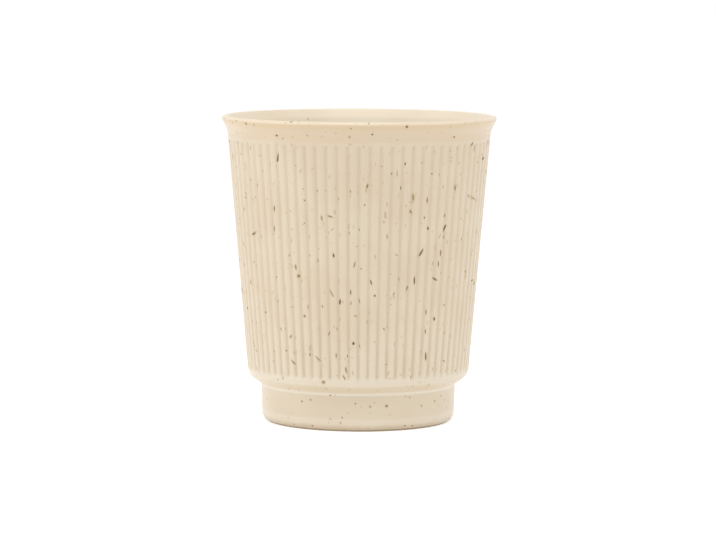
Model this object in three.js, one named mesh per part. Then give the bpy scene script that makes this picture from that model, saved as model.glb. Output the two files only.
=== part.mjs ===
// A handleless stoneware cup: a fluted, tapering wall on a stepped-in foot, with a thin flared lip.
// Millimetres, +Z up, the front towards -Y. The origin is the middle of the face that it stands on.
// Four pieces: the fired clay, and the three coats of glaze that lie on it face to face.

import * as THREE from "three";
import { mergeVertices } from "three/addons/utils/BufferGeometryUtils.js";

// Overall sizes, measured over the glaze
const HEIGHT = 90;
const RIM_DIAMETER = 80.8;
const WALL_THICKNESS = 3.6;
const FLOOR_THICKNESS = 5;
const GLAZE_THICKNESS = 0.3;

// Lip, and the flare that leads up to it
const LIP_THICKNESS = 1.9;
const FLARE_HEIGHT = 4.3;
const FLARE_REACH = 1.65;
const FLARE_FILLET = 6;

// Shoulder at the bottom of the wall, and the foot stepped in below it
const SHOULDER_DIAMETER = 65.1;
const SHOULDER_RISE = 2.7;
const SHOULDER_FILLET = 3;
const FOOT_STEP = 3.8;
const FOOT_HEIGHT = 11;
const FOOT_CORNER_FILLET = 0.6;
const FOOT_TAPER = 0.4;

// Lower edge of the foot, first where it is glazed and then where its clay is bare
const FOOT_EDGE_RISE = 1.1;
const FOOT_EDGE_INSET = 0.7;
const FOOT_EDGE_FILLET = 1.6;
const BARE_EDGE_RISE = 0.6;
const BARE_EDGE_INSET = 0.85;

// Standing ring, and the recess inside it above the bare clay
const STANDING_RING_WIDTH = 3.4;
const RECESS_RISE = 1.1;
const RECESS_DRAFT = 0.6;
const RECESS_FILLET = 0.8;

// Inside
const INNER_FLARE_FILLET = 12;
const INNER_FLOOR_FILLET = 16;

// Flutes, and the plain bands of wall between their ends and the fillets
const FLUTE_COUNT = 76;
const FLUTE_DEPTH = 0.5;
const FLUTE_WIDTH = 1.9;
const FLUTE_RUNOUT = 0.9;
const PLAIN_BAND_BELOW = 0.3;
const PLAIN_BAND_ABOVE = 1;

// Fineness of the facets
const SMOOTH_COLUMNS = 48;
const FILLET_STEPS = 2;
const FLOOR_FILLET_STEPS = 5;
const LIP_OUTER_STEPS = 3;
const LIP_INNER_STEPS = 2;
const MERGE_DISTANCE = 1e-4;

// Finishes
const CLAY = { color: 0xc2af95, roughness: 0.9, metalness: 0 };
const GLAZE = { color: 0xdfcdb3, roughness: 0.42, metalness: 0 };

// How the surface runs round the axis at a point of an outline
const SMOOTH = "smooth";
const FLUTE_END = "flute end";
const FLUTED = "fluted";

// One point of an outline, by its radius and height
const at = (r, z, surface = SMOOTH) => ({ r, z, surface });

// The point at height z on the straight line through a and b
function atHeight(a, b, z, surface = SMOOTH) {
  return at(a.r + ((b.r - a.r) * (z - a.z)) / (b.z - a.z), z, surface);
}

// The unit vector from a to b
function direction(a, b) {
  return new THREE.Vector2(b.r - a.r, b.z - a.z).normalize();
}

// Points of an arc round a centre, with angles from the horizontal
function arc(centre, radius, from, to, steps) {
  return Array.from({ length: steps + 1 }, (_, i) => {
    const angle = from + ((to - from) * i) / steps;
    return at(centre.r + radius * Math.cos(angle), centre.z + radius * Math.sin(angle));
  });
}

// A corner rounded to a radius, between the points before and after it
function fillet(before, corner, after, radius, steps = FILLET_STEPS) {
  const back = direction(corner, before);
  const ahead = direction(corner, after);
  const half = back.angleTo(ahead) / 2;
  const inward = back.clone().add(ahead).setLength(radius / Math.sin(half));
  const centre = at(corner.r + inward.x, corner.z + inward.y);
  const reach = radius / Math.tan(half);
  const start = back.multiplyScalar(reach).sub(inward).angle();
  const end = ahead.multiplyScalar(reach).sub(inward).angle();
  const turn = THREE.MathUtils.euclideanModulo(end - start + Math.PI, 2 * Math.PI) - Math.PI;
  return arc(centre, radius, start, start + turn, steps);
}

// An outline moved sideways by a distance, to the left of the way that it runs
function offset(points, distance) {
  const normals = points.slice(1).map((point, i) => {
    const along = direction(points[i], point);
    return new THREE.Vector2(-along.y, along.x);
  });
  return points.map((point, i) => {
    const one = normals[Math.max(i - 1, 0)];
    const two = normals[Math.min(i, normals.length - 1)];
    const reach = distance / (1 + one.dot(two));
    return at(point.r + (one.x + two.x) * reach, point.z + (one.y + two.y) * reach, point.surface);
  });
}

// Corners of the glazed outline outside the cup
const shoulder = at(SHOULDER_DIAMETER / 2, FOOT_HEIGHT + SHOULDER_RISE);
const footCorner = at(shoulder.r - FOOT_STEP, FOOT_HEIGHT);
const footEdge = at(footCorner.r - FOOT_TAPER, BARE_EDGE_RISE + FOOT_EDGE_RISE);
const glazeLine = at(footEdge.r - FOOT_EDGE_INSET, BARE_EDGE_RISE);
const standingEdge = at(glazeLine.r - BARE_EDGE_INSET, 0);
const flareBase = at(RIM_DIAMETER / 2 - FLARE_REACH, HEIGHT - FLARE_HEIGHT);

// The flare runs straight from its base until it touches the round of the lip
const lipRadius = LIP_THICKNESS / 2;
const lipCentre = at(RIM_DIAMETER / 2 - lipRadius, HEIGHT - lipRadius);
const flareRun = new THREE.Vector2(lipCentre.r - flareBase.r, lipCentre.z - flareBase.z);
const flareTilt = Math.atan2(flareRun.x, flareRun.y) + Math.asin(lipRadius / flareRun.length());
const lipOutside = arc(lipCentre, lipRadius, -flareTilt, Math.PI / 2, LIP_OUTER_STEPS);
const lipInside = arc(lipCentre, lipRadius, Math.PI / 2, Math.PI - flareTilt, LIP_INNER_STEPS);

// The flutes run down the wall, and fade out at both ends
const shoulderRound = fillet(footCorner, shoulder, flareBase, SHOULDER_FILLET);
const flareRound = fillet(shoulder, flareBase, lipOutside[0], FLARE_FILLET);
const fluteBottom = shoulderRound.at(-1).z + PLAIN_BAND_BELOW;
const fluteTop = flareRound[0].z - PLAIN_BAND_ABOVE;
const flutes = [
  atHeight(shoulder, flareBase, fluteBottom, FLUTE_END),
  atHeight(shoulder, flareBase, fluteBottom + FLUTE_RUNOUT, FLUTED),
  atHeight(shoulder, flareBase, fluteTop - FLUTE_RUNOUT, FLUTED),
  atHeight(shoulder, flareBase, fluteTop, FLUTE_END),
];

// The glazed outline outside the cup, from the glaze line on the foot up to the crest of the lip
const glazedOutside = [
  glazeLine,
  ...fillet(glazeLine, footEdge, footCorner, FOOT_EDGE_FILLET),
  ...fillet(footEdge, footCorner, shoulder, FOOT_CORNER_FILLET),
  ...shoulderRound,
  ...flutes,
  ...flareRound,
  ...lipOutside,
];

// The glazed outline of the recess, from its middle out to the glaze line inside the standing ring
const recessTop = BARE_EDGE_RISE + RECESS_RISE;
const recessEdge = at(standingEdge.r - STANDING_RING_WIDTH, 0);
const recessLine = at(recessEdge.r - BARE_EDGE_INSET, BARE_EDGE_RISE);
const recessCorner = at(recessLine.r - RECESS_DRAFT, recessTop);
const recessMiddle = at(0, recessTop);
const glazedRecess = [
  recessMiddle,
  ...fillet(recessMiddle, recessCorner, recessLine, RECESS_FILLET),
  recessLine,
];

// The inner wall lies parallel to the outer one, and the inside of the lip parallel to the flare
const wallRun = direction(shoulder, flareBase);
const innerWall = (z) => at(atHeight(shoulder, flareBase, z).r - WALL_THICKNESS / wallRun.y, z);
const lipEnd = lipInside.at(-1);
const closing = Math.tan(flareTilt) - wallRun.x / wallRun.y;
const innerFlareBase = innerWall(lipEnd.z - (lipEnd.r - innerWall(lipEnd.z).r) / closing);
const floorTop = recessTop + FLOOR_THICKNESS;
const floorCorner = innerWall(floorTop);
const floorMiddle = at(0, floorTop);

// The glazed outline inside the cup, from the crest of the lip down to the middle of the floor
const glazedInside = [
  ...lipInside,
  ...fillet(lipEnd, innerFlareBase, floorCorner, INNER_FLARE_FILLET),
  ...fillet(innerFlareBase, floorCorner, floorMiddle, INNER_FLOOR_FILLET, FLOOR_FILLET_STEPS),
  floorMiddle,
];

// The clay lies one coat of glaze below those outlines, and is bare between the two glaze lines
const clayOverLip = offset([...glazedOutside, ...glazedInside.slice(1)], GLAZE_THICKNESS);
const clayOutside = clayOverLip.slice(0, glazedOutside.length);
const clayInside = clayOverLip.slice(glazedOutside.length - 1);
const clayRecess = offset(glazedRecess, GLAZE_THICKNESS);
const clayOutline = [...clayRecess, recessEdge, standingEdge, ...clayOverLip];

// A ring of points round the axis, from the front and back to it, each with its angle.
// Round the flutes it has three points a flute: the groove's bottom and its two edges.
function ring({ r, z, surface }) {
  const place = (angle, radius) => {
    const point = new THREE.Vector3(radius * Math.sin(angle), -radius * Math.cos(angle), z);
    return { angle, point };
  };
  if (r === 0) return [place(0, 0)];
  const count = surface === SMOOTH ? SMOOTH_COLUMNS : FLUTE_COUNT;
  const pitch = (2 * Math.PI) / count;
  const halfWidth = FLUTE_WIDTH / (shoulder.r + flareBase.r);
  const points = Array.from({ length: count }, (_, i) => {
    if (surface !== FLUTED) return [place(i * pitch, r)];
    return [
      place(i * pitch, r - FLUTE_DEPTH),
      place(i * pitch + halfWidth, r),
      place((i + 1) * pitch - halfWidth, r),
    ];
  }).flat();
  return [...points, { angle: 2 * Math.PI, point: points[0].point }];
}

// Triangles between two rings, which may have different numbers of points.
// Each step goes along the ring where the new edge between the two turns less.
function band(lower, upper) {
  const triangles = [];
  let i = 0;
  let j = 0;
  while (i + 1 < lower.length || j + 1 < upper.length) {
    const lowerNext = lower[i + 1] ?? { angle: Infinity };
    const upperNext = upper[j + 1] ?? { angle: Infinity };
    const lowerTurn = Math.abs(lowerNext.angle - upper[j].angle);
    const upperTurn = Math.abs(upperNext.angle - lower[i].angle);
    const next = lowerTurn <= upperTurn ? lowerNext : upperNext;
    triangles.push([lower[i].point, next.point, upper[j].point]);
    if (next === lowerNext) i += 1;
    else j += 1;
  }
  return triangles;
}

// The surface swept by an outline, which faces to the right of the way that the outline runs
function skin(outline) {
  const rings = outline.map(ring);
  return rings.slice(1).flatMap((upper, i) => band(rings[i], upper));
}

// The same surface, facing the other way
const turned = (triangles) => triangles.map(([a, b, c]) => [a, c, b]);

// A coat of glaze between its own surface and the clay, closed by a strip along each open edge
function coat(glazed, clay) {
  const strip = (from, to) => (from.r === 0 ? [] : skin([from, to]));
  return [
    ...skin(glazed),
    ...turned(skin(clay)),
    ...strip(clay[0], glazed[0]),
    ...strip(glazed.at(-1), clay.at(-1)),
  ];
}

// A named mesh made of triangles, with its shared points merged
function piece(name, triangles, finish) {
  const loose = new THREE.BufferGeometry().setFromPoints(triangles.flat());
  const geometry = mergeVertices(loose, MERGE_DISTANCE);
  geometry.computeVertexNormals();
  const mesh = new THREE.Mesh(geometry, new THREE.MeshStandardMaterial(finish));
  mesh.name = name;
  return mesh;
}

const cup = new THREE.Group();
cup.add(
  piece("stoneware_body", skin(clayOutline), CLAY),
  piece("outer_glaze", coat(glazedOutside, clayOutside), GLAZE),
  piece("liner_glaze", coat(glazedInside, clayInside), GLAZE),
  piece("base_glaze", coat(glazedRecess, clayRecess), GLAZE),
);

export default cup;
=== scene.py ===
"""Looks of a handleless stoneware cup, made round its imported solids.

The clay and its three coats of glaze are thrown again, ring by ring, with finer rounds and
rounded flutes. The outer coat is a speckled cream satin glaze, the clay under the foot is bare.
Metres, +Z up, the front of the cup towards -Y.
"""

import logging
import math
from collections.abc import Callable
from dataclasses import dataclass
from enum import Enum
from functools import cached_property
from typing import ClassVar, Union

import bmesh
import bpy
from mathutils import Euler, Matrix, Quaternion, Vector


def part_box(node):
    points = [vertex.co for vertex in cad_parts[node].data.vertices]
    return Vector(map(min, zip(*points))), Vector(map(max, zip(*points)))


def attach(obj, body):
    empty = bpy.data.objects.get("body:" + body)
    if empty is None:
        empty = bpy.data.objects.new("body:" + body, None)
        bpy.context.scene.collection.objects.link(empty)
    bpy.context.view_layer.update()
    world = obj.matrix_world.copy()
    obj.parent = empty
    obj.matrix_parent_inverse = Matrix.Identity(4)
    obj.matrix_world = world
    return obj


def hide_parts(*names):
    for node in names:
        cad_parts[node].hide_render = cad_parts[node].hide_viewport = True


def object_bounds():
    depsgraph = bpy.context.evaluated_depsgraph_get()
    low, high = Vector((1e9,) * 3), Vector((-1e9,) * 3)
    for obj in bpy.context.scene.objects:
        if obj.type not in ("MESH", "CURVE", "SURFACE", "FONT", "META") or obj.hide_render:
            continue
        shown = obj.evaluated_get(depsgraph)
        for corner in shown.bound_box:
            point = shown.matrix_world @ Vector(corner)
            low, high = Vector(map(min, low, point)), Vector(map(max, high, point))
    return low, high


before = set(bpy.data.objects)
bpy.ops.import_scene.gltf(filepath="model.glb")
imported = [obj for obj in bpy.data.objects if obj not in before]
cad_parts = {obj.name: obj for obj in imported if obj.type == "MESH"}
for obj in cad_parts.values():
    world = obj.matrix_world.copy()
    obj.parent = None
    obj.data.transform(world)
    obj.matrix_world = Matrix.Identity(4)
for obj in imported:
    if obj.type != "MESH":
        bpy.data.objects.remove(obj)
CAD_LOW, CAD_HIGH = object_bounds()

LOG = logging.getLogger("cup")
MM = 0.001
IMAGE_WIDTH = 716
SENSOR_WIDTH_MM = 36.0

Piece = bpy.types.Object
Colour = tuple[float, float, float]
WHITE: Colour = (1.0, 1.0, 1.0)


class Node(Enum):
    """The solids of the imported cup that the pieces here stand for."""

    CLAY = "stoneware_body"
    OUTER = "outer_glaze"
    LINER = "liner_glaze"
    BASE = "base_glaze"


class Slot(Enum):
    """The record's material slots."""

    BARE = "bare_stoneware"
    SPECKLED = "speckled_glaze"
    LINER = "liner_glaze"


class SpeckForm(Enum):
    """What shape the iron specks of a glaze have."""

    BALL = "ball"
    SLIVER = "sliver"


@dataclass(frozen=True)
class Station:
    """One ring of a turned surface.

    Attributes:
        radius: The ring's radius.
        height: The ring's height above the table.
        groove: The share of the full groove depth that the flutes have there.
    """

    radius: float
    height: float
    groove: float = 0.0


@dataclass(frozen=True)
class FluteCut:
    """The grooves round the wall.

    Attributes:
        count: How many grooves there are.
        depth: Their full depth, at the bottom of the wall.
        shallowest: The share of that depth that is left at the top.
        width_share: How much of the way from crest to crest a groove takes up.
    """

    count: int = 76
    depth: float = 0.52 * MM
    shallowest: float = 0.75
    width_share: float = 0.64

    def share(self, away: float) -> float:
        """Depth at a place across a groove, which is rounded like a raised cosine.

        Args:
            away: The distance from the middle of the groove, in pitches.

        Returns:
            The share of the full depth, from 0 on a crest to 1 in the middle of a groove.
        """
        half_width = self.width_share / 2
        if away >= half_width:
            return 0.0
        return math.cos(math.pi / 2 * away / half_width) ** 2


class Section:
    """Draws the section of a turned piece, in points of radius and height."""

    FILLET_STEPS = 5

    @staticmethod
    def arc(centre: Vector, radius: float, start: float, end: float, steps: int) -> list[Vector]:
        """Points of an arc, from one angle above the horizontal to another, ends included."""
        turns = (start + (end - start) * i / steps for i in range(steps + 1))
        return [centre + radius * Vector((math.cos(a), math.sin(a))) for a in turns]

    @classmethod
    def fillet(
        cls, before: Vector, corner: Vector, after: Vector, radius: float, steps: int = FILLET_STEPS
    ) -> list[Vector]:
        """A corner of an outline, rounded.

        Args:
            before: The point before the corner.
            corner: The corner itself.
            after: The point after the corner.
            radius: The radius of the round.
            steps: How many steps the round has.

        Returns:
            The points of the round.
        """
        back = (before - corner).normalized()
        ahead = (after - corner).normalized()
        half = back.angle(ahead) / 2
        inward = (back + ahead).normalized() * (radius / math.sin(half))
        reach = radius / math.tan(half)
        first = back * reach - inward
        last = ahead * reach - inward
        start = math.atan2(first.y, first.x)
        turn = math.remainder(math.atan2(last.y, last.x) - start, 2 * math.pi)
        return cls.arc(corner + inward, radius, start, start + turn, steps)

    @staticmethod
    def inset(stations: list[Station], distance: float) -> list[Station]:
        """An outline moved sideways, to the left of the way that it runs.

        Args:
            stations: The outline.
            distance: How far it moves.

        Returns:
            The moved outline.
        """
        points = [Vector((s.radius, s.height)) for s in stations]
        runs = [(b - a).normalized() for a, b in zip(points, points[1:])]
        normals = [Vector((-run.y, run.x)) for run in runs]
        moved = []
        for i, (station, point) in enumerate(zip(stations, points)):
            one = normals[max(i - 1, 0)]
            two = normals[min(i, len(normals) - 1)]
            point = point + (one + two) * (distance / (1 + one.dot(two)))
            moved.append(Station(max(point.x, 0.0), point.y, station.groove))
        return moved

    @staticmethod
    def plain(points: list[Vector]) -> list[Station]:
        """Stations of a surface with no grooves, at some points."""
        return [Station(point.x, point.y) for point in points]


class Wheel:
    """A potter's wheel: pulls a wall up from a ring of clay, one ring at a time."""

    SMOOTH_ANGLE = math.radians(55)
    TOUCH = 1e-7

    def __init__(self, flutes: FluteCut, columns_each: int) -> None:
        """Sets how the walls are fluted.

        Args:
            flutes: The grooves.
            columns_each: How many columns of vertices each flute gets.
        """
        self.flutes = flutes
        self.columns_each = columns_each
        self.columns = flutes.count * columns_each

    def throw(self, name: str, stations: list[Station]) -> Piece:
        """Makes a turned surface.

        Args:
            name: The piece's name.
            stations: Its rings in order. The first or the last may lie on the axis.

        Returns:
            The piece, the only one selected, with an open surface whose faces point outwards.
        """
        capped = stations[0].radius < self.TOUCH
        rings = stations[1:] if capped else stations
        piece = self._centre(name, rings[0], capped)
        for below, above in zip(rings, rings[1:]):
            self._pull(piece, below, above)
        bpy.ops.mesh.select_all(action="SELECT")
        bpy.ops.mesh.remove_doubles(threshold=self.TOUCH)
        bpy.ops.mesh.normals_make_consistent(inside=False)
        bpy.ops.object.mode_set(mode="OBJECT")
        return piece

    @staticmethod
    def coat(piece: Piece, thickness: float) -> None:
        """Gives the surface thrown last, which is still the active one, its thickness, inwards.

        Args:
            piece: The surface.
            thickness: The thickness of the coat.
        """
        bpy.ops.object.modifier_add(type="SOLIDIFY")
        modifier = piece.modifiers[-1]
        modifier.thickness = thickness
        modifier.offset = -1.0
        modifier.use_even_offset = True
        bpy.ops.object.modifier_apply(modifier=modifier.name)

    def burnish(self) -> None:
        """Shades the piece thrown last smooth, apart from its sharp edges."""
        bpy.ops.object.shade_smooth_by_angle(angle=self.SMOOTH_ANGLE)

    def _centre(self, name: str, ring: Station, capped: bool) -> Piece:
        """Lays the first ring, and leaves it selected in edit mode.

        Args:
            name: The piece's name.
            ring: Where the ring lies.
            capped: Whether the ring is filled.

        Returns:
            The new piece.
        """
        bpy.ops.object.select_all(action="DESELECT")
        bpy.ops.mesh.primitive_circle_add(
            vertices=self.columns,
            radius=ring.radius,
            fill_type="TRIFAN" if capped else "NOTHING",
            location=(0.0, 0.0, 0.0),
        )
        piece = bpy.context.active_object
        piece.name = name
        piece.data.name = name
        bpy.ops.object.mode_set(mode="EDIT")
        bpy.ops.mesh.select_mode(type="VERT")
        bpy.ops.mesh.select_all(action="SELECT")
        bpy.ops.transform.translate(value=(0.0, 0.0, ring.height))
        verts = self._mesh(piece).verts
        # The ring itself, without the middle of a filled one.
        self._select(piece, [v.index for v in verts if v.co.xy.length > ring.radius / 2])
        return piece

    def _pull(self, piece: Piece, below: Station, above: Station) -> None:
        """Pulls the next ring out of the selected one, and presses the flutes into it.

        Args:
            piece: The piece that is edited.
            below: The ring that is there.
            above: The ring to make.
        """
        rise = (0.0, 0.0, above.height - below.height)
        bpy.ops.mesh.extrude_region_move(TRANSFORM_OT_translate={"value": rise})
        if above.radius < self.TOUCH:
            bpy.ops.mesh.merge(type="CENTER")
            return
        self._widen(above.radius / below.radius, above.height)
        if max(below.groove, above.groove) <= 0.0:
            return
        ring = {v.index: self._column(v) for v in self._mesh(piece).verts if v.select}
        for column in range(self.columns_each):
            away = min(column, self.columns_each - column) / self.columns_each
            cut = self.flutes.depth * self.flutes.share(away)
            if cut <= 0.0:
                continue
            # Where the column lies now: the groove of the ring below was widened with it.
            now = (below.radius - cut * below.groove) * above.radius / below.radius
            self._select(piece, [index for index, place in ring.items() if place == column])
            self._widen((above.radius - cut * above.groove) / now, above.height)
        self._select(piece, list(ring))

    def _column(self, vert: bmesh.types.BMVert) -> int:
        """The column of a flute that a vertex lies in, counted from the middle of the groove."""
        turn = math.atan2(vert.co.x, -vert.co.y) / (2 * math.pi)
        return round(turn * self.columns) % self.columns_each

    def _select(self, piece: Piece, chosen: list[int]) -> None:
        """Selects some vertices, and the edges and faces that lie wholly between them.

        Args:
            piece: The piece that is edited.
            chosen: The numbers of the vertices.
        """
        bpy.ops.mesh.select_all(action="DESELECT")
        mesh = self._mesh(piece)
        for index in chosen:
            mesh.verts[index].select = True
        mesh.select_flush(True)
        bmesh.update_edit_mesh(piece.data, loop_triangles=False, destructive=False)

    @staticmethod
    def _mesh(piece: Piece) -> bmesh.types.BMesh:
        """The piece's mesh while it is edited, with its vertices in order.

        Args:
            piece: The piece that is edited.

        Returns:
            The mesh, until the next operator.
        """
        mesh = bmesh.from_edit_mesh(piece.data)
        mesh.verts.index_update()
        mesh.verts.ensure_lookup_table()
        return mesh

    @staticmethod
    def _widen(factor: float, height: float) -> None:
        """Scales the selected vertices about the axis, at the height of their ring."""
        middle = (0.0, 0.0, height)
        bpy.ops.transform.resize(value=(factor, factor, 1.0), center_override=middle)


@dataclass(frozen=True, kw_only=True)
class CupPiece:
    """A piece of the cup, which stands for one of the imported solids.

    Attributes:
        flutes: The grooves round the wall.
        columns_each: How many columns of vertices each flute gets.
        thickness: The thickness of a coat of glaze, or 0 for an outline that closes by itself.
    """

    node: ClassVar[Node]
    slot: ClassVar[Slot]

    flutes: FluteCut = FluteCut()
    columns_each: int = 4
    thickness: float = 0.3 * MM

    def stations(self) -> list[Station]:
        """The rings of the piece's outline, in order."""
        raise NotImplementedError

    def build(self) -> Piece:
        """Models the piece.

        Returns:
            The piece.
        """
        wheel = Wheel(self.flutes, self.columns_each)
        piece = wheel.throw(f"{self.node.value}_surface", self.stations())
        if self.thickness > 0.0:
            wheel.coat(piece, self.thickness)
        wheel.burnish()
        return piece

    def dress(self, piece: Piece, finish: bpy.types.Material) -> None:
        """Gives the piece its finish and its place on the cup.

        Args:
            piece: The piece.
            finish: Its finish.
        """
        piece.data.materials.append(finish)
        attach(piece, "root")
        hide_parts(self.node.value)


@dataclass(frozen=True, kw_only=True)
class OuterCoat(CupPiece):
    """The speckled coat outside, from the glaze line on the foot up to the crest of the lip."""

    node: ClassVar[Node] = Node.OUTER
    slot: ClassVar[Slot] = Slot.SPECKLED
    WALL_STEPS: ClassVar[int] = 12
    RUNOUT_STEPS: ClassVar[int] = 5
    LIP_STEPS: ClassVar[int] = 6

    height: float
    rim_radius: float
    glaze_line_height: float
    columns_each: int = 8
    lip_radius: float = 0.95 * MM
    flare_height: float = 4.3 * MM
    flare_reach: float = 1.65 * MM
    flare_fillet: float = 6.0 * MM
    shoulder_radius: float = 32.55 * MM
    shoulder_rise: float = 2.7 * MM
    shoulder_fillet: float = 3.0 * MM
    foot_step: float = 3.8 * MM
    foot_height: float = 11.0 * MM
    foot_corner_fillet: float = 0.6 * MM
    foot_taper: float = 0.4 * MM
    foot_edge_rise: float = 1.1 * MM
    foot_edge_inset: float = 0.7 * MM
    foot_edge_fillet: float = 1.6 * MM
    flute_runout: float = 0.9 * MM
    plain_band_below: float = 0.1 * MM
    plain_band_above: float = 1.0 * MM

    @classmethod
    def from_frame(cls) -> "OuterCoat":
        """The coat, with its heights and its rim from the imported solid."""
        low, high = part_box(cls.node.value)
        return cls(height=high.z, rim_radius=high.x, glaze_line_height=low.z)

    @property
    def shoulder(self) -> Vector:
        """The corner where the wall turns in to the foot."""
        return Vector((self.shoulder_radius, self.foot_height + self.shoulder_rise))

    @property
    def foot_corner(self) -> Vector:
        """The corner at the top of the foot."""
        return Vector((self.shoulder_radius - self.foot_step, self.foot_height))

    @property
    def foot_edge(self) -> Vector:
        """The corner at the bottom of the foot."""
        radius = self.foot_corner.x - self.foot_taper
        return Vector((radius, self.glaze_line_height + self.foot_edge_rise))

    @property
    def glaze_line(self) -> Vector:
        """The line where the glaze ends above the table."""
        return Vector((self.foot_edge.x - self.foot_edge_inset, self.glaze_line_height))

    @property
    def flare_base(self) -> Vector:
        """The corner where the wall starts to flare."""
        return Vector((self.rim_radius - self.flare_reach, self.height - self.flare_height))

    @property
    def lip_centre(self) -> Vector:
        """The middle of the lip's round."""
        return Vector((self.rim_radius - self.lip_radius, self.height - self.lip_radius))

    @property
    def flare_tilt(self) -> float:
        """How far the flare leans out from upright."""
        run = self.lip_centre - self.flare_base
        return math.atan2(run.x, run.y) + math.asin(self.lip_radius / run.length)

    @property
    def lip_round(self) -> list[Vector]:
        """The outer half of the lip's round, up to its crest."""
        start, end = -self.flare_tilt, math.pi / 2
        return Section.arc(self.lip_centre, self.lip_radius, start, end, self.LIP_STEPS)

    @property
    def shoulder_round(self) -> list[Vector]:
        """The round of the shoulder."""
        corners = (self.foot_corner, self.shoulder, self.flare_base)
        return Section.fillet(*corners, self.shoulder_fillet)

    @property
    def flare_round(self) -> list[Vector]:
        """The round between the wall and the flare."""
        corners = (self.shoulder, self.flare_base, self.lip_round[0])
        return Section.fillet(*corners, self.flare_fillet)

    @property
    def flute_bottom(self) -> float:
        """The height where the flutes start."""
        return self.shoulder_round[-1].y + self.plain_band_below

    @property
    def flute_top(self) -> float:
        """The height where the flutes end."""
        return self.flare_round[0].y - self.plain_band_above

    def wall_at(self, height: float, inset: float = 0.0) -> Vector:
        """A point of the straight wall.

        Args:
            height: The height of the point.
            inset: How far the point lies inside the outer face of the wall.

        Returns:
            The point, by radius and height.
        """
        run = self.flare_base - self.shoulder
        radius = self.shoulder.x + run.x * (height - self.shoulder.y) / run.y
        return Vector((radius - inset * run.length / run.y, height))

    def fluted_wall(self) -> list[Station]:
        """Stations of the fluted stretch of wall, whose grooves fade out at both ends.

        Returns:
            The stations, from the bottom up.
        """
        bottom, top, runout = self.flute_bottom, self.flute_top, self.flute_runout
        shares = [i / self.RUNOUT_STEPS for i in range(self.RUNOUT_STEPS + 1)]
        fade = [(runout * t, t * t * (3 - 2 * t)) for t in shares]
        low = [(bottom + inward, groove) for inward, groove in fade]
        high = [(top - inward, groove) for inward, groove in reversed(fade)]
        step = (top - bottom - 2 * runout) / self.WALL_STEPS
        middle = [(bottom + runout + step * i, 1.0) for i in range(1, self.WALL_STEPS)]
        fading = (1.0 - self.flutes.shallowest) / (top - bottom)
        rows = [(z, groove * (1.0 - fading * (z - bottom))) for z, groove in low + middle + high]
        return [Station(self.wall_at(z).x, z, groove) for z, groove in rows]

    def stations(self) -> list[Station]:
        """The rings from the glaze line on the foot up to the crest of the lip.

        Returns:
            The rings.
        """
        edge = Section.fillet(
            self.glaze_line, self.foot_edge, self.foot_corner, self.foot_edge_fillet
        )
        corner = Section.fillet(
            self.foot_edge, self.foot_corner, self.shoulder, self.foot_corner_fillet
        )
        low = Section.plain([self.glaze_line, *edge, *corner, *self.shoulder_round])
        return low + self.fluted_wall() + Section.plain([*self.flare_round, *self.lip_round])


@dataclass(frozen=True, kw_only=True)
class LinerCoat(CupPiece):
    """The coat inside, from the crest of the lip down to the middle of the floor."""

    node: ClassVar[Node] = Node.LINER
    slot: ClassVar[Slot] = Slot.LINER
    FLOOR_STEPS: ClassVar[int] = 12

    outer: OuterCoat
    floor_top: float
    wall: float = 3.6 * MM
    flare_fillet: float = 12.0 * MM
    floor_fillet: float = 16.0 * MM

    @classmethod
    def from_frame(cls, outer: OuterCoat) -> "LinerCoat":
        """The coat that meets the outer one on the lip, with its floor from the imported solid."""
        low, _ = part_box(cls.node.value)
        return cls(outer=outer, floor_top=low.z + cls.thickness)

    def stations(self) -> list[Station]:
        """The rings from the crest of the lip down to the middle of the floor.

        Returns:
            The rings.
        """
        outer = self.outer
        start, end = math.pi / 2, math.pi - outer.flare_tilt
        lip = Section.arc(outer.lip_centre, outer.lip_radius, start, end, outer.LIP_STEPS)
        # The inner flare runs down, parallel to the outer one, until it meets the inner wall.
        run = outer.flare_base - outer.shoulder
        closing = math.tan(outer.flare_tilt) - run.x / run.y
        gap = lip[-1].x - outer.wall_at(lip[-1].y, self.wall).x
        flare_base = outer.wall_at(lip[-1].y - gap / closing, self.wall)
        corner = outer.wall_at(self.floor_top, self.wall)
        middle = Vector((0.0, self.floor_top))
        flare = Section.fillet(lip[-1], flare_base, corner, self.flare_fillet)
        floor = Section.fillet(flare_base, corner, middle, self.floor_fillet, self.FLOOR_STEPS)
        return Section.plain([*lip, *flare, *floor, middle])


@dataclass(frozen=True)
class StandingRing:
    """The bare ring of clay that the cup stands on.

    Attributes:
        glaze_line: The line where the outer glaze ends above it.
        width: The width of its flat face.
        edge_inset: How far its bare edges draw in from the glaze lines.
    """

    glaze_line: Vector
    width: float = 3.4 * MM
    edge_inset: float = 0.85 * MM

    @property
    def outer_edge(self) -> Vector:
        """The outer edge of the flat face."""
        return Vector((self.glaze_line.x - self.edge_inset, 0.0))

    @property
    def inner_edge(self) -> Vector:
        """The inner edge of the flat face."""
        return Vector((self.outer_edge.x - self.width, 0.0))

    @property
    def recess_line(self) -> Vector:
        """The line where the glaze of the recess ends."""
        return Vector((self.inner_edge.x - self.edge_inset, self.glaze_line.y))


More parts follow.
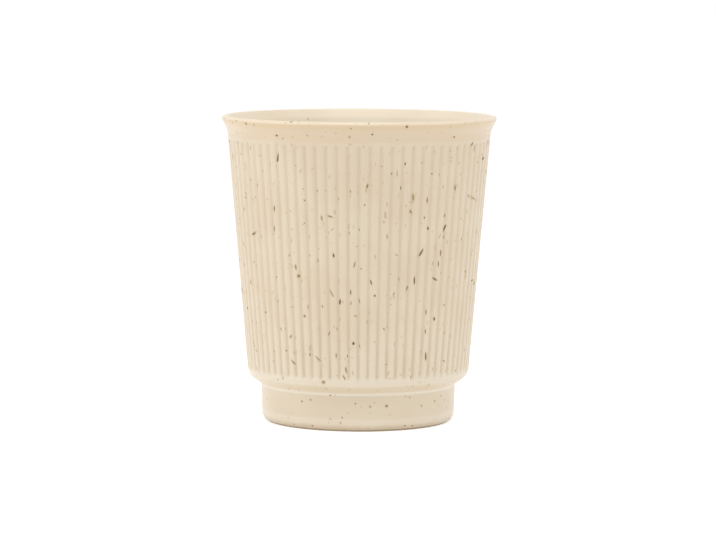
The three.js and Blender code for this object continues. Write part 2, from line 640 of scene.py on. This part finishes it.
@dataclass(frozen=True, kw_only=True)
class BaseCoat(CupPiece):
    """The coat in the recess under the floor, inside the standing ring."""

    node: ClassVar[Node] = Node.BASE
    slot: ClassVar[Slot] = Slot.LINER

    ring: StandingRing
    recess_top: float
    draft: float = 0.6 * MM
    fillet: float = 0.8 * MM

    @classmethod
    def from_frame(cls, ring: StandingRing) -> "BaseCoat":
        """The coat inside a standing ring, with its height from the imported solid."""
        _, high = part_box(cls.node.value)
        return cls(ring=ring, recess_top=high.z - cls.thickness)

    def stations(self) -> list[Station]:
        """The rings from the middle of the recess out to its glaze line.

        Returns:
            The rings.
        """
        line = self.ring.recess_line
        middle = Vector((0.0, self.recess_top))
        corner = Vector((line.x - self.draft, self.recess_top))
        return Section.plain([middle, *Section.fillet(middle, corner, line, self.fillet), line])


@dataclass(frozen=True, kw_only=True)
class StonewareBody(CupPiece):
    """The fired clay: wall, floor and foot in one, bare only on the ring that it stands on."""

    node: ClassVar[Node] = Node.CLAY
    slot: ClassVar[Slot] = Slot.BARE

    ring: StandingRing
    outer: OuterCoat
    liner: LinerCoat
    base: BaseCoat
    thickness: float = 0.0

    def stations(self) -> list[Station]:
        """The rings from under the floor, round the standing ring and over the lip, to the floor.

        Returns:
            The rings.
        """
        under = Section.inset(self.base.stations(), self.base.thickness)
        coats = self.outer.stations() + self.liner.stations()[1:]
        over_lip = Section.inset(coats, self.outer.thickness)
        return under + Section.plain([self.ring.inner_edge, self.ring.outer_edge]) + over_lip


def math_operator(operation: str, swapped: bool = False) -> Callable[["Signal", "Value"], "Signal"]:
    """Makes an operator of a signal that adds a Math node.

    Args:
        operation: What the node does.
        swapped: Whether the signal stands on the right of the operator.

    Returns:
        The operator.
    """

    def work_out(signal: "Signal", other: "Value") -> "Signal":
        """Adds the node, with its values in the order that they were written in."""
        pair = (other, signal) if swapped else (signal, other)
        return signal.graph.math(operation, *pair)

    return work_out


class Signal:
    """An output of a shader node, with arithmetic that adds Math nodes."""

    def __init__(self, graph: "Graph", socket: bpy.types.NodeSocket) -> None:
        """Wraps an output socket of a node in a graph."""
        self.graph = graph
        self.socket = socket

    def sibling(self, name: str) -> "Signal":
        """Another output of the same node."""
        return Signal(self.graph, self.graph.find(self.socket.node.outputs, name))

    __add__ = math_operator("ADD")
    __radd__ = math_operator("ADD", swapped=True)
    __sub__ = math_operator("SUBTRACT")
    __rsub__ = math_operator("SUBTRACT", swapped=True)
    __mul__ = math_operator("MULTIPLY")
    __rmul__ = math_operator("MULTIPLY", swapped=True)
    __truediv__ = math_operator("DIVIDE")
    __rtruediv__ = math_operator("DIVIDE", swapped=True)
    __pow__ = math_operator("POWER")
    __rpow__ = math_operator("POWER", swapped=True)


Value = Union[Signal, float]
Input = Union[Signal, float, tuple]


class Graph:
    """The node tree of one material or world, filled from an empty start."""

    def __init__(self, owner: Union[bpy.types.Material, bpy.types.World]) -> None:
        """Empties the node tree.

        Args:
            owner: The material or world.
        """
        owner.use_nodes = True
        self.owner = owner
        self.tree = owner.node_tree
        self.tree.nodes.clear()

    @staticmethod
    def find(sockets: bpy.types.bpy_prop_collection, key: Union[str, int]) -> bpy.types.NodeSocket:
        """A socket of a node.

        Args:
            sockets: The node's inputs or outputs.
            key: The socket's place, identifier or name.

        Returns:
            The socket.
        """
        if isinstance(key, int):
            return sockets[key]
        for socket in sockets:
            if socket.identifier == key:
                return socket
        return next(s for s in sockets if s.name == key and s.enabled)

    def node(self, kind: str, settings: dict, inputs: dict) -> bpy.types.Node:
        """Adds a node.

        Args:
            kind: The node's type.
            settings: Its settings, which are set first.
            inputs: The values or links of its sockets.

        Returns:
            The node.
        """
        node = self.tree.nodes.new(kind)
        for name, value in settings.items():
            setattr(node, name, value)
        for key, value in inputs.items():
            socket = self.find(node.inputs, key)
            if isinstance(value, Signal):
                self.tree.links.new(value.socket, socket)
            elif socket.type == "RGBA":
                socket.default_value = (*value, 1.0)
            else:
                socket.default_value = value
        return node

    def add(self, kind: str, settings: dict, inputs: dict, output: Union[str, int] = 0) -> Signal:
        """Adds a node and takes one of its outputs, the first if none is named."""
        return Signal(self, self.find(self.node(kind, settings, inputs).outputs, output))

    def math(self, operation: str, *values: Value) -> Signal:
        """A Math node on some values."""
        return self.add("ShaderNodeMath", {"operation": operation}, dict(enumerate(values)))

    def vector(self, operation: str, *values: Input) -> Signal:
        """A Vector Math node on some vectors."""
        return self.add("ShaderNodeVectorMath", {"operation": operation}, dict(enumerate(values)))

    def split(self, vector: Signal) -> tuple[Signal, Signal, Signal]:
        """The three parts of a vector or colour."""
        x = self.add("ShaderNodeSeparateXYZ", {}, {"Vector": vector}, "X")
        return x, x.sibling("Y"), x.sibling("Z")

    def mix(self, factor: Value, one: Input, two: Input) -> Signal:
        """A colour between two others, by the share of the second."""
        inputs = {"Factor_Float": factor, "A_Color": one, "B_Color": two}
        return self.add("ShaderNodeMix", {"data_type": "RGBA"}, inputs, "Result_Color")

    def layered(self, ground: Signal, *layers: tuple[Signal, Input]) -> Signal:
        """Lays colours over a ground, one after the other.

        Args:
            ground: The colour of the ground.
            layers: The share and the colour of each layer.

        Returns:
            The colour that shows.
        """
        for share, colour in layers:
            ground = self.mix(share, ground, colour)
        return ground

    def ease(self, value: Signal, low: float, high: float) -> Signal:
        """A smooth step, from 0 at a value's low end to 1 at its high end."""
        inputs = {"Value": value, "From Min": low, "From Max": high}
        return self.add("ShaderNodeMapRange", {"interpolation_type": "SMOOTHSTEP"}, inputs)

    def noise(self, place: Signal, grain: float, detail: float = 2.0) -> Signal:
        """Noise around a half at a point, with lumps of a grain in metres and finer detail."""
        inputs = {"Vector": place, "Scale": 1.0 / grain, "Detail": detail}
        return self.add("ShaderNodeTexNoise", {"noise_dimensions": "3D"}, inputs)

    def bump(self, height: Signal, strength: float, distance: float) -> Signal:
        """The normal of fine unevenness, where a height of 1 stands a distance in metres."""
        inputs = {"Height": height, "Strength": strength, "Distance": distance}
        return self.add("ShaderNodeBump", {}, inputs)

    def skin(self, colour: Signal, roughness: Signal, normal: Signal) -> bpy.types.Material:
        """Ends a material's graph in a Principled shader.

        Args:
            colour: The base colour.
            roughness: The roughness.
            normal: The normal.

        Returns:
            The finished material.
        """
        inputs = {"Base Color": colour, "Roughness": roughness, "Normal": normal}
        shader = self.add("ShaderNodeBsdfPrincipled", {}, inputs)
        self.node("ShaderNodeOutputMaterial", {}, {"Surface": shader})
        return self.owner


class Place:
    """Where a point of the cup lies, as signals, in the cup's own coordinates."""

    def __init__(self, graph: Graph) -> None:
        """Reads the point, its place across, its place in depth and its height.

        Args:
            graph: The graph that the signals are in.
        """
        self.graph = graph
        self.point = graph.add("ShaderNodeTexCoord", {}, {}, "Object")
        self.x, self.y, self.z = graph.split(self.point)

    @cached_property
    def radius(self) -> Signal:
        """The distance from the axis."""
        return self.graph.math("SQRT", self.x * self.x + self.y * self.y)


@dataclass(frozen=True)
class Band:
    """A band of heights round the cup, with soft edges.

    Attributes:
        low: Its lower edge, above the height that it is counted from.
        high: Its upper edge, above that height.
        blur: How far each edge fades to both sides.
        share: How strong it is.
    """

    low: float
    high: float
    blur: float
    share: float = 1.0

    def mask(self, place: Place, datum: float = 0.0) -> Signal:
        """The mask of the band.

        Args:
            place: The point of the cup.
            datum: The height that the band is counted from.

        Returns:
            The mask, from 0 outside the band to its share inside.
        """
        low, high = datum + self.low, datum + self.high
        above = place.graph.ease(place.z, low - self.blur, low + self.blur)
        below = 1.0 - place.graph.ease(place.z, high - self.blur, high + self.blur)
        return above * below * self.share


@dataclass(frozen=True)
class SpeckMarks:
    """What a scatter of specks draws.

    Attributes:
        core: The mask of the specks.
        halo: The mask of the stain round some of them.
        tone: A number for each speck, from 0 to 1.
    """

    core: Signal
    halo: Signal
    tone: Signal


@dataclass(frozen=True)
class Specks:
    """Iron specks in the glaze, scattered through space so that they have no seam.

    Balls show as dots where the surface cuts through them. Slivers lie along the fluted wall, and
    are dots elsewhere on the outside.

    Attributes:
        form: Which of the two they are.
        spacing: The usual distance between the places where a speck may lie, in metres.
        half_width: Half the width of a speck of usual size.
        shown: The share of the places that hold a speck.
        half_depth: How far below or above the surface a sliver still shows.
        stretch: How many times longer than wide the longest slivers are.
        shift: Moves the scatter, so that two scatters differ.
    """

    form: SpeckForm
    spacing: float
    half_width: float
    shown: float
    half_depth: float = 0.0
    stretch: float = 1.0
    shift: float = 0.0

    SMALLEST: ClassVar[float] = 0.6
    SPREAD: ClassVar[float] = 0.9
    DOT_WIDTH: ClassVar[float] = 1.3
    USUAL_LEAN: ClassVar[float] = math.radians(18)
    MORE_LEAN: ClassVar[float] = math.radians(60)
    LEAN_RARITY: ClassVar[float] = 8.0
    EDGE_SOFTNESS: ClassVar[float] = 0.25
    HALO_START: ClassVar[float] = 0.6
    HALO_REACH: ClassVar[float] = 2.4
    RAGGED: ClassVar[float] = 0.16 * MM
    RAGGED_GRAIN: ClassVar[float] = 0.5 * MM
    NOISE_MIDDLE: ClassVar[Colour] = (0.5, 0.5, 0.5)

    def draw(self, place: Place, wall: Value = 0.0) -> SpeckMarks:
        """Draws the specks.

        Args:
            place: The point of the cup.
            wall: The mask of the wall where slivers are drawn out.

        Returns:
            The masks of the specks.
        """
        g = place.graph
        moved = self._ragged(place)
        cell = g.add(
            "ShaderNodeTexVoronoi",
            {"voronoi_dimensions": "3D", "feature": "F1"},
            {"Vector": moved, "Scale": 1.0 / self.spacing},
            "Position",
        )
        lean, size, chance = g.split(cell.sibling("Color"))
        solid = {"noise_dimensions": "3D"}
        more = g.add("ShaderNodeTexWhiteNoise", solid, {"Vector": cell}, "Color")
        length, tone, stain = g.split(more)
        offset = g.vector("SUBTRACT", moved, cell)
        width = (size * size * self.SPREAD + self.SMALLEST) * self.half_width
        held = g.math("LESS_THAN", chance, self.shown)
        if self.form is SpeckForm.SLIVER:
            across, along, outward = self._turned(place, offset, lean)
            width = width * (self.DOT_WIDTH - wall * (self.DOT_WIDTH - 1.0))
            reach = width * (length * wall * (self.stretch - 1.0) + 1.0)
            u = across / width
            v = along / reach
            away = g.math("SQRT", u * u + v * v)
            held = held * g.math("LESS_THAN", g.math("ABSOLUTE", outward), self.half_depth)
        else:
            away = g.vector("LENGTH", offset).sibling("Value") / width
        core = (1.0 - g.ease(away, 1.0 - self.EDGE_SOFTNESS, 1.0)) * held
        halo = (1.0 - g.ease(away, self.HALO_START, self.HALO_REACH)) * held * stain
        return SpeckMarks(core, halo, tone)

    def _turned(self, place: Place, offset: Signal, lean: Signal) -> tuple[Signal, Signal, Signal]:
        """How far a point lies from the middle of a speck that leans to one side.

        Args:
            place: The point of the cup.
            offset: The way to the point from the middle of the speck.
            lean: A number from 0 to 1, where a half is upright, and only the ends lean far.

        Returns:
            The distances across the speck, along it, and away from the axis of the cup.
        """
        g = place.graph
        dx, dy, rise = g.split(offset)
        round_cup = (place.x * dy - place.y * dx) / place.radius
        outward = (place.x * dx + place.y * dy) / place.radius
        side = lean * 2.0 - 1.0
        turn = side * (side ** self.LEAN_RARITY * self.MORE_LEAN + self.USUAL_LEAN)
        cosine = g.math("COSINE", turn)
        sine = g.math("SINE", turn)
        return round_cup * cosine - rise * sine, round_cup * sine + rise * cosine, outward

    def _ragged(self, place: Place) -> Signal:
        """The point of the cup, moved a little to and fro so that no speck is a clean oval.

        Args:
            place: The point of the cup.

        Returns:
            The moved point.
        """
        g = place.graph
        wander = g.noise(place.point, self.RAGGED_GRAIN).sibling("Color")
        wander = g.vector("SUBTRACT", wander, self.NOISE_MIDDLE)
        wander = g.vector("MULTIPLY", wander, (self.RAGGED,) * 3)
        return g.vector("ADD", g.vector("ADD", place.point, wander), (self.shift,) * 3)


@dataclass(frozen=True, kw_only=True)
class CreamGlaze:
    """A cream satin glaze with iron specks.

    Attributes:
        name: The material's name.
        cream: The glaze's colour.
        cloud: The colour that it drifts to.
        ochre: The colour of the faint specks, and of the stain round others.
        stain: How much of that stain shows.
        specks: The specks.
    """

    name: str
    cream: Colour
    cloud: Colour
    ochre: Colour
    stain: float
    specks: Specks
    cloud_grain: float = 14 * MM
    cloud_start: float = 0.35
    cloud_full: float = 0.65
    smoothest: float = 0.27
    dulling: float = 0.10
    dulling_grain: float = 6 * MM
    fine_grain: float = 1.1 * MM
    fine_detail: float = 1.0
    fine_ripple: float = 0.6
    broad_grain: float = 7 * MM
    broad_ripple: float = 1.6
    ripple_height: float = 0.02 * MM
    ripple_shown: float = 0.6

    def clouded(self, p: Place) -> Signal:
        """The cream of the glaze, which drifts a little from place to place."""
        drift = p.graph.ease(p.graph.noise(p.point, self.cloud_grain), self.cloud_start, self.cloud_full)
        return p.graph.mix(drift, self.cream, self.cloud)

    def gloss(self, p: Place) -> Signal:
        """The satin roughness, which drifts as well."""
        return p.graph.noise(p.point, self.dulling_grain) * self.dulling + self.smoothest

    def ripple(self, p: Place) -> Signal:
        """The fine and the broad unevenness of the glaze."""
        fine = p.graph.noise(p.point, self.fine_grain, self.fine_detail) * self.fine_ripple
        return fine + p.graph.noise(p.point, self.broad_grain) * self.broad_ripple

    def rippled(self, g: Graph, height: Signal) -> Signal:
        """The normal of the uneven glaze."""
        return g.bump(height, self.ripple_shown, self.ripple_height)


@dataclass(frozen=True, kw_only=True)
class LinerGlaze(CreamGlaze):
    """The coat inside the cup and under its base, paler, with few faint specks.

    It has painted shade below the lip: its tone deepens at depths that are counted from the crest.
    """

    name: str = "cream_liner_glaze"
    cream: Colour = (0.880, 0.755, 0.580)
    cloud: Colour = (0.890, 0.780, 0.620)
    ochre: Colour = (0.520, 0.330, 0.130)
    # deep: the colour of the painted shade inside the cup, below the lip.
    inner_shade: Colour = (0.790, 0.697, 0.545)
    inner_shade_start: float = 1.9 * MM
    inner_shade_full: float = 3.3 * MM
    faintest: float = 0.20
    darker: float = 0.40
    stain: float = 0.12
    specks: Specks = Specks(SpeckForm.BALL, spacing=3.2 * MM, half_width=0.40 * MM, shown=0.6)

    def on(self, coat: OuterCoat) -> bpy.types.Material:
        """Makes the material.

        Args:
            coat: The outer coat, whose crest the depths are counted from.

        Returns:
            The material.
        """
        g = Graph(bpy.data.materials.new(self.name))
        p = Place(g)
        specks = self.specks.draw(p)
        # Painted shade, deeper below the lip, inside the cup and under its base.
        out_of_shade = g.ease(p.z, coat.height - self.inner_shade_full, coat.height - self.inner_shade_start)
        colour = g.layered(
            g.mix(out_of_shade, self.inner_shade, self.clouded(p)),
            (specks.halo * self.stain, self.ochre),
            (specks.core * (specks.tone * self.darker + self.faintest), self.ochre),
        )
        return g.skin(colour, self.gloss(p), self.rippled(g, self.ripple(p)))


@dataclass(frozen=True, kw_only=True)
class SpeckledGlaze(CreamGlaze):
    """The outer coat, which pools in the flutes, with painted highlights on the edges and painted shade
    under the shoulder.

    The bands foot_corner and foot_face are counted from the top of the foot, shoulder from the
    shoulder, foot_edge from the glaze line, and flare and brim from the crest of the lip.
    """

    name: str = "speckled_cream_glaze"
    cream: Colour = (0.735, 0.612, 0.452)
    cloud: Colour = (0.755, 0.642, 0.485)
    ochre: Colour = (0.455, 0.300, 0.115)
    # pooled: the colour of the glaze pooled in the flutes, and of the painted shade under the shoulder;
    # the foot's face takes a little of it too.
    pooled_and_shaded: Colour = (0.640, 0.510, 0.340)
    # pale: the colour of the paler low wall, and of the painted highlights on the edges.
    pale_and_highlight: Colour = (0.830, 0.760, 0.640)
    warm: Colour = (0.740, 0.575, 0.390)
    honey: Colour = (0.735, 0.562, 0.345)
    # lip: the colour of the painted highlight along the crest of the lip.
    lip: Colour = (0.835, 0.700, 0.515)
    umber: Colour = (0.108, 0.058, 0.004)
    rust: Colour = (0.300, 0.170, 0.025)
    # toast: the colour of the toasted glaze edge above the glaze line, which also stands for painted
    # contact shadow.
    toast_and_contact_shade: Colour = (0.530, 0.420, 0.280)
    streak_grain: float = 2.0 * MM
    streak_squash: float = 0.12
    low_wall: float = 24 * MM
    low_wall_pale: float = 0.22
    pooling: float = 0.62
    low_wall_pooling: float = 0.50
    # foot_corner, shoulder and foot_edge are painted highlights: pale bands where the rounded edges
    # catch light and reflect the bright table.
    foot_corner: Band = Band(-0.45 * MM, 0.30 * MM, 0.20 * MM, 0.90)
    shoulder: Band = Band(0.10 * MM, 2.60 * MM, 0.35 * MM, 0.30)
    foot_edge: Band = Band(1.60 * MM, 3.40 * MM, 0.60 * MM, 0.25)
    flare: Band = Band(-6.00 * MM, -1.20 * MM, 0.60 * MM, 0.50)
    brim: Band = Band(-2.20 * MM, -0.90 * MM, 0.45 * MM, 0.60)
    foot_face: Band = Band(-7.50 * MM, -0.60 * MM, 0.30 * MM, 0.16)
    # The band under the shoulder is painted shade.
    under_gap_low: float = 0.60 * MM
    under_gap_high: float = 0.20 * MM
    under_blur: float = 0.25 * MM
    under_painted_shade: float = 0.30
    # Where the painted highlight on the lip starts and where it is full, below the crest.
    lip_highlight_start: float = 1.05 * MM
    lip_highlight_full: float = 0.60 * MM
    # The darker band above the glaze line: toasted glaze, with painted contact shadow; noise makes its
    # upper edge wander.
    line_wander_grain: float = 3.0 * MM
    line_wander_reach: float = 1.20 * MM
    toast_and_shade_full: float = 0.80 * MM
    toast_and_shade_end: float = 2.20 * MM
    toast_and_shade_share: float = 0.50
    freckle_faintest: float = 0.18
    freckle_darker: float = 0.40
    stain: float = 0.45
    paling: float = 0.45
    speck_dulling: float = 0.12
    speck_pit: float = 0.50
    freckles: Specks = Specks(
        SpeckForm.SLIVER, spacing=2.8 * MM, half_width=0.24 * MM, shown=0.9,
        half_depth=0.60 * MM, stretch=4.0, shift=0.31,
    )
    specks: Specks = Specks(
        SpeckForm.SLIVER, spacing=3.7 * MM, half_width=0.24 * MM, shown=0.65,
        half_depth=0.85 * MM, stretch=4.6, shift=0.23,
    )

    def on(self, coat: OuterCoat) -> bpy.types.Material:
        """Makes the material.

        Args:
            coat: The coat that it is for.

        Returns:
            The material.
        """
        g = Graph(bpy.data.materials.new(self.name))
        p = Place(g)
        fade = coat.flute_runout / 2
        wall = Band(coat.flute_bottom + fade, coat.flute_top - fade, fade).mask(p)
        freckles = self.freckles.draw(p, wall)
        specks = self.specks.draw(p, wall)
        ink = freckles.tone * self.freckle_darker + self.freckle_faintest
        brown = g.mix(specks.tone, self.umber, self.rust)
        colour = g.layered(
            self._ground(p, coat, wall),
            (freckles.core * ink, self.ochre),
            (specks.halo * self.stain, self.ochre),
            (specks.core * (1.0 - specks.tone * self.paling), brown),
        )
        roughness = self.gloss(p) + specks.core * self.speck_dulling
        height = self.ripple(p) - specks.core * self.speck_pit
        return g.skin(colour, roughness, self.rippled(g, height))

    def _ground(self, p: Place, coat: OuterCoat, wall: Signal) -> Signal:
        """The glaze's colour without its specks, with painted highlights on the edges and painted shade
        under the shoulder.

        Args:
            p: The point of the cup.
            coat: The coat that it is for.
            wall: The mask of the fluted wall.

        Returns:
            The colour.
        """
        g = p.graph
        foot, shoulder, line = coat.foot_corner.y, coat.shoulder.y, coat.glaze_line_height
        angle = g.math("ARCTAN2", p.x, 0.0 - p.y)
        groove = g.ease(g.math("COSINE", angle * float(coat.flutes.count)), 0.0, 1.0) * wall
        drawn_out = g.vector("MULTIPLY", p.point, (1.0, 1.0, self.streak_squash))
        streak = g.noise(drawn_out, self.streak_grain)
        low = 1.0 - g.ease(p.z, coat.flute_bottom, coat.flute_bottom + self.low_wall)
        corner = self.foot_corner.mask(p, foot)
        # Painted highlights on the foot corner, the shoulder and the foot edge.
        edges = corner + self.shoulder.mask(p, shoulder) + self.foot_edge.mask(p, line)
        # Painted shade under the shoulder, from the top of the foot up to the shoulder; the foot's face
        # is a little darker too.
        gap = (foot + self.under_gap_low, shoulder - self.under_gap_high)
        under = Band(*gap, self.under_blur, self.under_painted_shade)
        # Darker above the glaze line: a toasted glaze edge, with painted contact shadow.
        line_wander = g.noise(p.point, self.line_wander_grain) * self.line_wander_reach
        edge = 1.0 - g.ease(p.z + line_wander, line + self.toast_and_shade_full, line + self.toast_and_shade_end)
        return g.layered(
            self.clouded(p),
            (low * self.low_wall_pale, self.pale_and_highlight),
            (groove * streak * (low * self.low_wall_pooling + self.pooling), self.pooled_and_shaded),
            (edges, self.pale_and_highlight),
            (under.mask(p) + self.foot_face.mask(p, foot), self.pooled_and_shaded),
            (self.flare.mask(p, coat.height), self.warm),
            (self.brim.mask(p, coat.height), self.honey),
            # Painted highlight along the crest of the lip.
            (g.ease(p.z, coat.height - self.lip_highlight_start, coat.height - self.lip_highlight_full), self.lip),
            (edge * self.toast_and_shade_share, self.toast_and_contact_shade),
        )


@dataclass(frozen=True)
class BareStoneware:
    """Fired clay with no glaze: sandy, buff and rough."""

    name: str = "bare_stoneware"
    buff: Colour = (0.560, 0.455, 0.330)
    toasted: Colour = (0.500, 0.395, 0.270)
    grain: Colour = (0.640, 0.530, 0.390)
    iron: Colour = (0.160, 0.095, 0.045)
    toasting_grain: float = 6 * MM
    toasting_start: float = 0.30
    toasting_full: float = 0.70
    sand_grain: float = 0.35 * MM
    sand_layers: float = 3.0
    sand_start: float = 0.52
    sand_full: float = 0.75
    sand_share: float = 0.60
    iron_share: float = 0.70
    smoothest: float = 0.82
    dulling: float = 0.12
    sand_height: float = 0.08 * MM
    sand_shown: float = 0.80
    specks: Specks = Specks(SpeckForm.BALL, spacing=1.3 * MM, half_width=0.16 * MM, shown=0.5)

    def material(self) -> bpy.types.Material:
        """Makes the material.

        Returns:
            The material.
        """
        g = Graph(bpy.data.materials.new(self.name))
        p = Place(g)
        sand = g.noise(p.point, self.sand_grain, self.sand_layers)
        fire = g.noise(p.point, self.toasting_grain)
        toasting = g.ease(fire, self.toasting_start, self.toasting_full)
        colour = g.layered(
            g.mix(toasting, self.buff, self.toasted),
            (g.ease(sand, self.sand_start, self.sand_full) * self.sand_share, self.grain),
            (self.specks.draw(p).core * self.iron_share, self.iron),
        )
        roughness = sand * self.dulling + self.smoothest
        return g.skin(colour, roughness, g.bump(sand, self.sand_shown, self.sand_height))


@dataclass(frozen=True)
class PhotoCamera:
    """The camera at the photograph's place.

    Attributes:
        distance: How far it stands from the point that it looks at.
        elevation: How far it looks down.
        roll: How far it is turned about its own line of sight.
        aim_height: The height of the point that it looks at, on the cup's axis.
        pixels_per_metre: The scale of the picture at that point.
        axis_right_of_middle: How many pixels right of the picture's middle that point lies.
    """

    distance: float = 1.0
    elevation: float = math.radians(5.58)
    roll: float = math.radians(0.25)
    aim_height: float = 44.25 * MM
    pixels_per_metre: float = 3386.5
    axis_right_of_middle: float = 0.6

    def place(self) -> None:
        """Makes the camera and gives it to the scene."""
        data = bpy.data.cameras.new("photo_camera")
        data.sensor_width = SENSOR_WIDTH_MM
        data.lens = self.pixels_per_metre * self.distance / IMAGE_WIDTH * SENSOR_WIDTH_MM
        data.shift_x = -self.axis_right_of_middle / IMAGE_WIDTH
        camera = bpy.data.objects.new("photo_camera", data)
        back = Vector((0.0, -math.cos(self.elevation), math.sin(self.elevation)))
        camera.location = Vector((0.0, 0.0, self.aim_height)) + back * self.distance
        level = Euler((math.pi / 2 - self.elevation, 0.0, 0.0)).to_quaternion()
        turn = Quaternion((0.0, 0.0, 1.0), self.roll)
        camera.rotation_euler = (level @ turn).to_euler()
        bpy.context.scene.collection.objects.link(camera)
        bpy.context.scene.camera = camera


@dataclass(frozen=True)
class Softbox:
    """One soft lamp, aimed at the middle of the cup."""

    name: str
    place: tuple[float, float, float]
    size: float
    watts: float

    def hang(self, target: Vector) -> None:
        """Makes the lamp.

        Args:
            target: The point that it is aimed at.
        """
        data = bpy.data.lights.new(self.name, "AREA")
        data.shape = "SQUARE"
        data.size = self.size
        data.energy = self.watts
        lamp = bpy.data.objects.new(self.name, data)
        lamp.location = self.place
        lamp.rotation_euler = (target - lamp.location).to_track_quat("-Z", "Y").to_euler()
        bpy.context.scene.collection.objects.link(lamp)


@dataclass(frozen=True)
class Studio:
    """A white table and soft light from both sides and above.

    Attributes:
        table_size: The length of the table's sides.
        table_gap: How far the table lies below the cup, so that the two don't flicker.
        table_colour: The table's colour.
        table_glow: The table's own glow, as it lights the cup.
        table_seen_glow: The table's own glow, as it is looked at.
        ambient: The strength of the surroundings, as they light the cup.
        surroundings: The strength of the surroundings, as they are looked at.
        lamps: The lamps.
    """

    table_size: float = 60.0
    table_gap: float = 0.05 * MM
    table_colour: Colour = (0.86, 0.86, 0.86)
    table_glow: float = 0.20
    table_seen_glow: float = 0.54
    ambient: float = 0.55
    surroundings: float = 1.0
    lamps: tuple[Softbox, ...] = (
        Softbox("left_softbox", (-0.90, -0.25, 0.45), size=1.0, watts=3.1),
        Softbox("right_softbox", (0.95, -0.30, 0.45), size=0.7, watts=1.8),
        Softbox("top_softbox", (0.0, -0.30, 1.05), size=0.8, watts=4.2),
    )

    def build(self, middle: Vector) -> None:
        """Sets up the table, the lamps and the surroundings.

        Args:
            middle: The middle of the cup.
        """
        self._table()
        for lamp in self.lamps:
            lamp.hang(middle)
        self._surroundings()

    @staticmethod
    def _white(g: Graph, kind: str, unseen: float, seen: float) -> Signal:
        """White light, of another strength where a camera, glossy or transmission ray looks at it.

        Args:
            g: The graph that it goes in.
            kind: The type of its shader node.
            unseen: Its strength where it lights the cup.
            seen: Its strength where it is looked at.

        Returns:
            The shader.
        """
        camera = g.add("ShaderNodeLightPath", {}, {}, "Is Camera Ray")
        looked_at = g.math("MAXIMUM", camera, camera.sibling("Is Glossy Ray"))
        looked_at = g.math("MAXIMUM", looked_at, camera.sibling("Is Transmission Ray"))
        dim = g.add(kind, {}, {"Color": WHITE, "Strength": unseen})
        bright = g.add(kind, {}, {"Color": WHITE, "Strength": seen})
        return g.add("ShaderNodeMixShader", {}, {0: looked_at, 1: dim, 2: bright})

    def _table(self) -> None:
        """Lays the white table, which keeps the cup's shadow."""
        bpy.ops.object.select_all(action="DESELECT")
        place = (0.0, 0.0, -self.table_gap)
        bpy.ops.mesh.primitive_plane_add(size=self.table_size, location=place)
        table = bpy.context.active_object
        table.name = "white_table"
        g = Graph(bpy.data.materials.new("white_table"))
        matt = g.add("ShaderNodeBsdfDiffuse", {}, {"Color": self.table_colour})
        glow = self._white(g, "ShaderNodeEmission", self.table_glow, self.table_seen_glow)
        both = g.add("ShaderNodeAddShader", {}, {0: matt, 1: glow})
        g.node("ShaderNodeOutputMaterial", {}, {"Surface": both})
        table.data.materials.append(g.owner)

    def _surroundings(self) -> None:
        """Makes the white world, which is full white only where it is looked at."""
        g = Graph(bpy.data.worlds.new("studio"))
        sky = self._white(g, "ShaderNodeBackground", self.ambient, self.surroundings)
        g.node("ShaderNodeOutputWorld", {}, {"Surface": sky})
        bpy.context.scene.world = g.owner


def main() -> None:
    """Builds the cup from the clay outwards, and the studio round it."""
    logging.basicConfig(level=logging.INFO, format="%(name)s: %(message)s")
    bpy.context.scene.view_settings.view_transform = "Standard"
    PhotoCamera().place()

    outer = OuterCoat.from_frame()
    liner = LinerCoat.from_frame(outer)
    ring = StandingRing(outer.glaze_line)
    base = BaseCoat.from_frame(ring)
    body = StonewareBody(ring=ring, outer=outer, liner=liner, base=base)

    speckled = SpeckledGlaze().on(outer)
    cream = LinerGlaze().on(outer)
    bare = BareStoneware().material()
    for part, finish in ((body, bare), (outer, speckled), (liner, cream), (base, cream)):
        piece = part.build()
        part.dress(piece, finish)
        LOG.info("%s: %d faces", piece.name, len(piece.data.polygons))

    Studio().build((CAD_LOW + CAD_HIGH) / 2)


if __name__ == "__main__":
    main()
